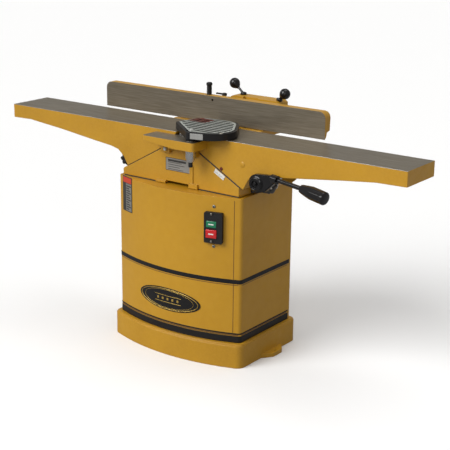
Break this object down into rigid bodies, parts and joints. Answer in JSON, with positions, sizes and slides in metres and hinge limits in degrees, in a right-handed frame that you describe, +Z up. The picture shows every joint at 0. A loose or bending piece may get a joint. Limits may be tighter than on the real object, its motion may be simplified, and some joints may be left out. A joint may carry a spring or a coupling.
{
  "type": "jointer",
  "caption": "Long-bed woodworking jointer on a bow-front cabinet: inclined-way tables, tilting sliding fence, swinging cutter guard, lever infeed.",
  "frame": {"origin": "on the floor under the cabinet centre in X and the table centreline in Y", "axes": "+X towards the infeed end along the tables, -Y towards the operator, +Z up"},
  "size_m": [1.676, 0.4717, 0.9371],
  "materials": {
    "yellow_paint": "semi-gloss enamel over casting and sheet",
    "black_paint": "satin black",
    "ground_iron": "fine ground",
    "machined_steel": "turned or milled",
    "zinc_steel": "zinc plated",
    "cast_gray": "as cast",
    "light_alloy": "painted light grey",
    "black_plastic": "fine texture",
    "black_gloss": "polished",
    "green_plastic": "smooth",
    "red_plastic": "smooth",
    "label": "printed film, blank",
    "white_label": "printed scale",
    "red_pointer": "enamel",
    "rubber": "moulded"
  },
  "bodies": {
    "root": {"base_casting": "yellow_paint", "cabinet_shell": "yellow_paint", "rear_access_panel": "yellow_paint", "cabinet_stripes": "black_paint", "oval_badge": "black_paint", "caution_plate": "label", "switch_box": "black_plastic", "stand_screws": "zinc_steel", "dust_chute": "cast_gray", "motor_plate": "black_paint", "motor_housing": "black_paint", "drive_belt": "rubber", "power_cord": "rubber", "bed_casting": "yellow_paint", "bed_bolts": "zinc_steel", "rabbet_arm": "yellow_paint", "arm_bolts": "zinc_steel", "data_plate": "label", "depth_scale": "white_label", "belt_cover": "yellow_paint", "lever_yoke": "cast_gray", "outfeed_nut": "cast_gray", "bearing_blocks": "cast_gray", "bearings": "machined_steel", "spring_cup": "machined_steel", "guard_spring": "cast_gray", "fence_support": "yellow_paint"},
    "infeed": {"infeed_table": "yellow_paint", "infeed_gib": "machined_steel", "infeed_gib_screws": "zinc_steel", "depth_pointer": "red_pointer"},
    "lever": {"lever_shaft": "machined_steel", "lever_hub": "black_paint", "lever_rod": "black_paint", "lever_grip": "black_plastic"},
    "outfeed": {"outfeed_table": "yellow_paint", "outfeed_gib": "machined_steel", "outfeed_gib_screws": "zinc_steel"},
    "outfeed_adjuster": {"outfeed_screw": "machined_steel", "outfeed_knob": "black_plastic"},
    "cutter": {"cutterhead": "machined_steel", "knives": "machined_steel", "knife_wedges": "cast_gray", "head_pulley": "cast_gray"},
    "motor_rotor": {"motor_shaft": "machined_steel", "motor_pulley": "cast_gray"},
    "guard_stem": {"guard_post": "machined_steel", "spring_knob": "black_plastic"},
    "guard": {"guard_body": "black_paint", "guard_grille": "light_alloy", "guard_side_plate": "label"},
    "carriage": {"fence_carriage": "yellow_paint"},
    "fence": {"fence_casting": "yellow_paint", "tilt_grip": "black_plastic", "tilt_pins": "zinc_steel"},
    "slide_lock_lever": {"slide_lock": "black_gloss"},
    "tilt_lock_lever": {"tilt_lock": "black_gloss"},
    "stop_pin": {"stop_plunger": "black_plastic"},
    "start": {"start_button": "green_plastic"},
    "stop": {"stop_button": "red_plastic"}
  },
  "joints": [
    {"name": "infeed_slide", "type": "slide", "parent": "root", "child": "infeed", "axis": [0.8746, 0, -0.4848], "range_m": [-0.0033, 0.0229]},
    {"name": "lever_swing", "type": "hinge", "parent": "infeed", "child": "lever", "pos_m": [0.339, 0, 0.672], "axis": [0, 1, 0], "range_deg": [-5.1, 35.1]},
    {"name": "outfeed_slide", "type": "slide", "parent": "root", "child": "outfeed", "axis": [-0.8746, 0, -0.4848], "range_m": [0, 0.0124]},
    {"name": "outfeed_screw_turn", "type": "hinge", "parent": "outfeed", "child": "outfeed_adjuster", "pos_m": [-0.16707, -0.06, 0.70816], "axis": [-0.8746, 0, -0.4848], "continuous": true},
    {"name": "motor_spin", "type": "hinge", "parent": "root", "child": "motor_rotor", "pos_m": [0.04, 0, 0.25], "axis": [0, 1, 0], "continuous": true},
    {"name": "cutter_spin", "type": "hinge", "parent": "root", "child": "cutter", "pos_m": [0.014, 0, 0.7569], "axis": [0, 1, 0], "continuous": true},
    {"name": "fence_slide", "type": "slide", "parent": "root", "child": "carriage", "axis": [0, -1, 0], "range_m": [0, 0.12]},
    {"name": "guard_push", "type": "hinge", "parent": "root", "child": "guard_stem", "pos_m": [0.09, -0.138, 0.75], "axis": [0, 0, -1], "range_deg": [0, 144]},
    {"name": "guard_swing", "type": "hinge", "parent": "guard_stem", "child": "guard", "pos_m": [0.09, -0.138, 0.75], "axis": [0, 0, -1], "range_deg": [0, 60]},
    {"name": "fence_tilt", "type": "hinge", "parent": "carriage", "child": "fence", "pos_m": [-0.021, 0.113, 0.8022], "axis": [1, 0, 0], "range_deg": [-45, 45]},
    {"name": "slide_lock_turn", "type": "hinge", "parent": "carriage", "child": "slide_lock_lever", "pos_m": [0.2, 0.226, 0.88], "axis": [0, 0, 1], "range_deg": [-45, 30]},
    {"name": "tilt_lock_turn", "type": "hinge", "parent": "carriage", "child": "tilt_lock_lever", "pos_m": [0.036, 0.24, 0.88], "axis": [0, 0, 1], "range_deg": [-45, 45]},
    {"name": "stop_pin_lift", "type": "slide", "parent": "carriage", "child": "stop_pin", "axis": [0, 0, 1], "range_m": [0, 0.012]},
    {"name": "start_press", "type": "slide", "parent": "root", "child": "start", "axis": [-0.2676, 0.9635, 0], "range_m": [0, 0.0025]},
    {"name": "stop_press", "type": "slide", "parent": "root", "child": "stop", "axis": [-0.2676, 0.9635, 0], "range_m": [0, 0.0025]}
  ],
  "couplings": [
    {"joint": "lever_swing", "follows": "infeed_slide", "rad_per_m": 26.651},
    {"joint": "outfeed_screw_turn", "follows": "outfeed_slide", "rad_per_m": 3141.6},
    {"joint": "cutter_spin", "follows": "motor_spin", "ratio": 1.5},
    {"joint": "guard_push", "follows": "fence_slide", "rad_per_m": 20.944}
  ]
}
